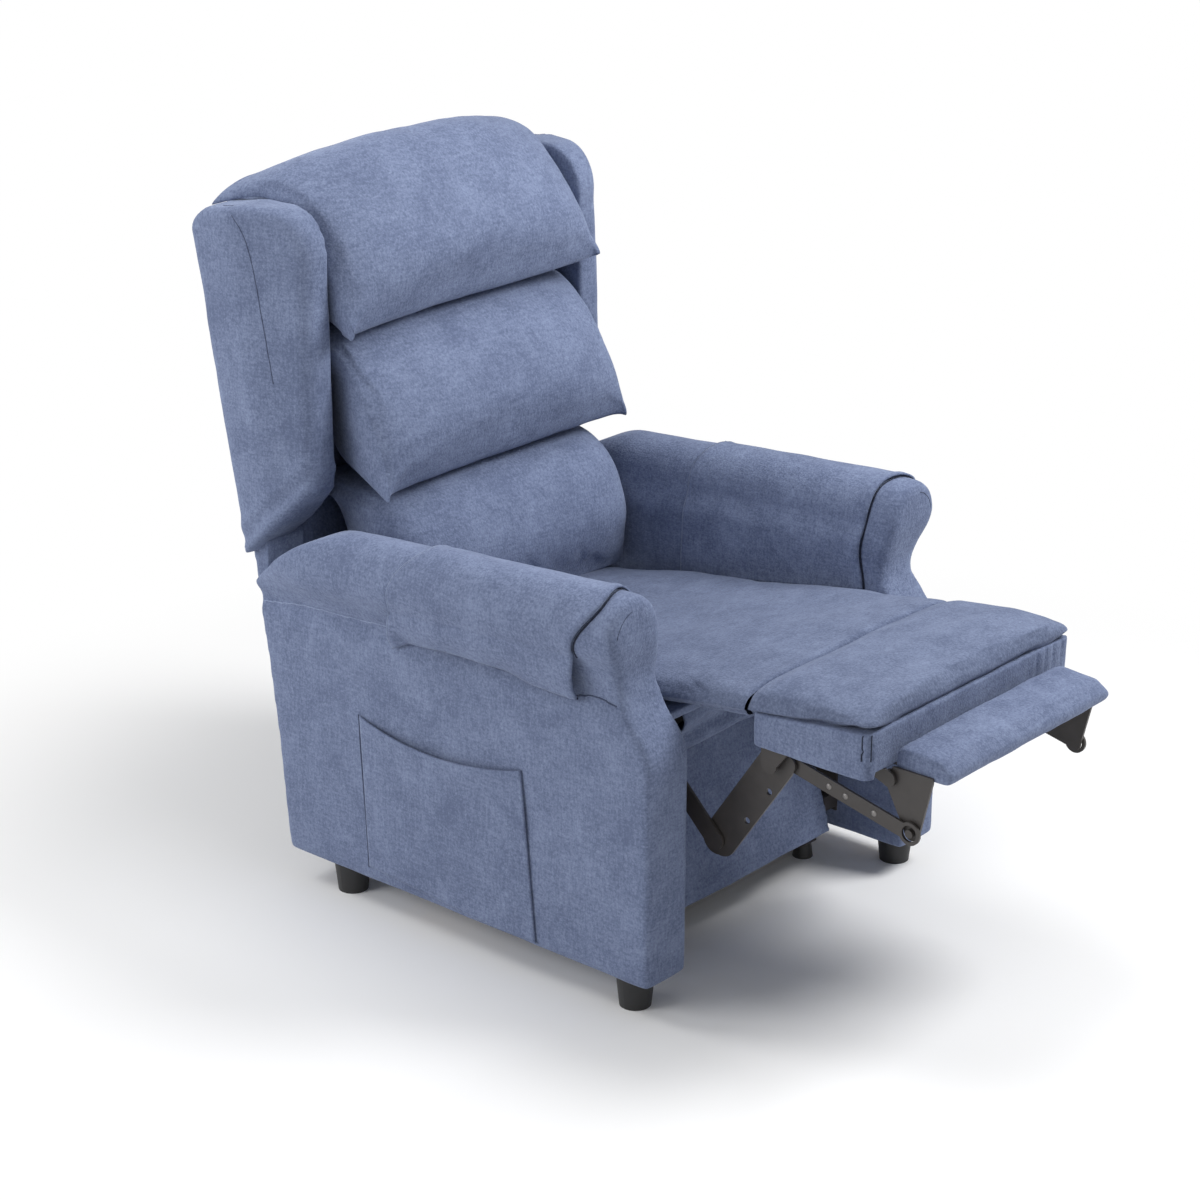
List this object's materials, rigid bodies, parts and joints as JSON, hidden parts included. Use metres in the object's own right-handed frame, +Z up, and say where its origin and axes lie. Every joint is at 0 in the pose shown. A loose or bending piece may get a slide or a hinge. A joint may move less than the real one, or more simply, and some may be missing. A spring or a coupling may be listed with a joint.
{
  "type": "lift recliner chair",
  "caption": "Upholstered power lift recliner with rolled arms, winged back with stacked pillows, chaise legrest with flipper and a tilting steel lift base.",
  "frame": {"origin": "on the floor under the middle of the overall box, legrest raised", "axes": "+Z up; the chair faces -Y; the sitter's right hand, with the side pocket, is at -X"},
  "size_m": [0.7726, 1.2764, 1.1112],
  "materials": {
    "upholstery": "soft mottled blue-grey chenille",
    "frame_wood": "plain plywood and timber",
    "webbing": "dark woven support cloth",
    "black_plastic": "matt black",
    "dark_steel": "dark brown-black paint",
    "bright_steel": "plain drawn rod"
  },
  "bodies": {
    "base": {"base_rail_left": "dark_steel", "base_rail_right": "dark_steel", "base_cross_front": "dark_steel", "base_cross_rear": "dark_steel", "base_pivot_lugs": "dark_steel", "base_glides": "black_plastic", "lift_motor_bracket": "dark_steel"},
    "lift_front": {"lift_front_links": "dark_steel", "lift_torque_tube": "dark_steel", "lift_crank": "dark_steel"},
    "lift_rear": {"lift_rear_links": "dark_steel"},
    "lift_motor": {"lift_motor": "black_plastic"},
    "lift_rod": {"lift_rod": "bright_steel"},
    "chair": {"side_plates": "dark_steel", "side_plate_pins": "dark_steel", "seat_front_board": "frame_wood", "seat_front_tube": "dark_steel", "seat_rear_tube": "dark_steel", "seat_springs": "dark_steel", "recline_motor_bracket": "dark_steel", "control_box": "black_plastic", "mains_inlet": "black_plastic", "seat_cushion": "upholstery", "seat_bridge_rear": "upholstery", "front_panel": "upholstery", "front_gusset": "upholstery", "front_panel_brackets": "dark_steel", "arm_upholstery_left": "upholstery", "arm_upholstery_right": "upholstery", "arm_cap_left": "upholstery", "arm_cap_right": "upholstery", "arm_frames": "frame_wood", "arm_feet": "black_plastic", "side_pocket": "upholstery"},
    "recline_motor": {"recline_motor": "black_plastic"},
    "recline_rod": {"recline_rod": "bright_steel"},
    "back": {"back_posts": "frame_wood", "back_rails": "frame_wood", "back_rear_panel": "upholstery", "back_webbing": "webbing", "back_brackets": "dark_steel", "back_lever_tube": "dark_steel", "wing_left": "upholstery", "wing_right": "upholstery", "head_pillow": "upholstery", "middle_pillow": "upholstery", "lumbar_pillow": "upholstery"},
    "legrest": {"legrest_board": "frame_wood", "legrest_pad": "upholstery", "legrest_brackets": "dark_steel", "legrest_pins": "dark_steel", "seat_bridge_front": "upholstery"},
    "legrest_drive": {"legrest_drive_links": "dark_steel"},
    "legrest_wide": {"legrest_wide_links": "dark_steel", "wide_link_pins": "dark_steel"},
    "flipper": {"flipper_board": "frame_wood", "flipper_pad": "upholstery", "flipper_brackets": "dark_steel"},
    "flipper_link": {"flipper_links": "dark_steel"}
  },
  "joints": [
    {"name": "lift", "type": "hinge", "parent": "base", "child": "lift_front", "pos_m": [0, -0.08822, 0.093], "axis": [1, 0, 0], "range_deg": [0, 60]},
    {"name": "chair_tilt", "type": "hinge", "parent": "lift_front", "child": "chair", "pos_m": [0, 0.21579, 0.136], "axis": [1, 0, 0], "range_deg": [-36.16, 0]},
    {"name": "lift_rear_swing", "type": "hinge", "parent": "base", "child": "lift_rear", "pos_m": [0, 0.02379, 0.087], "axis": [1, 0, 0], "range_deg": [0, 57.52]},
    {"name": "lift_motor_swing", "type": "hinge", "parent": "base", "child": "lift_motor", "pos_m": [0, 0.41179, 0.084], "axis": [1, 0, 0], "range_deg": [0, 2.06]},
    {"name": "lift_rod_slide", "type": "slide", "parent": "lift_motor", "child": "lift_rod", "axis": [0, -0.9858, 0.1682], "range_m": [0, 0.07585]},
    {"name": "back_recline", "type": "hinge", "parent": "chair", "child": "back", "pos_m": [0, 0.31178, 0.33], "axis": [-1, 0, 0], "range_deg": [0, 35]},
    {"name": "recline_motor_swing", "type": "hinge", "parent": "chair", "child": "recline_motor", "pos_m": [0, -0.01321, 0.245], "axis": [1, 0, 0], "range_deg": [-0.24922, 0]},
    {"name": "recline_rod_slide", "type": "slide", "parent": "recline_motor", "child": "recline_rod", "axis": [0, 0.9996, -0.03], "range_m": [-0.06016, 0]},
    {"name": "legrest_fold", "type": "hinge", "parent": "chair", "child": "legrest", "pos_m": [0, -0.25522, 0.487], "axis": [1, 0, 0], "range_deg": [0, 85]},
    {"name": "legrest_drive_swing", "type": "hinge", "parent": "chair", "child": "legrest_drive", "pos_m": [0, -0.15721, 0.342], "axis": [1, 0, 0], "range_deg": [0, 85.04]},
    {"name": "legrest_wide_swing", "type": "hinge", "parent": "legrest_drive", "child": "legrest_wide", "pos_m": [0, -0.26021, 0.24], "axis": [1, 0, 0], "range_deg": [-85.04, 0]},
    {"name": "flipper_fold", "type": "hinge", "parent": "legrest", "child": "flipper", "pos_m": [0, -0.54322, 0.412], "axis": [1, 0, 0], "range_deg": [0, 24.75]},
    {"name": "flipper_link_swing", "type": "hinge", "parent": "legrest_wide", "child": "flipper_link", "pos_m": [0, -0.38222, 0.388], "axis": [1, 0, 0], "range_deg": [0, 95.18]}
  ],
  "couplings": [
    {"joint": "chair_tilt", "follows": "lift", "ratio": -0.60236},
    {"joint": "lift_rear_swing", "follows": "lift", "ratio": 0.95812},
    {"joint": "lift_motor_swing", "follows": "lift", "ratio": 0.03436},
    {"joint": "lift_rod_slide", "follows": "lift", "m_per_rad": 0.072392},
    {"joint": "recline_motor_swing", "follows": "back_recline", "ratio": -0.0071169},
    {"joint": "recline_rod_slide", "follows": "back_recline", "m_per_rad": -0.098426},
    {"joint": "legrest_drive_swing", "follows": "legrest_fold", "ratio": 1},
    {"joint": "legrest_wide_swing", "follows": "legrest_fold", "ratio": -1},
    {"joint": "flipper_fold", "follows": "legrest_fold", "ratio": 0.29101},
    {"joint": "flipper_link_swing", "follows": "legrest_fold", "ratio": 1.1192}
  ]
}
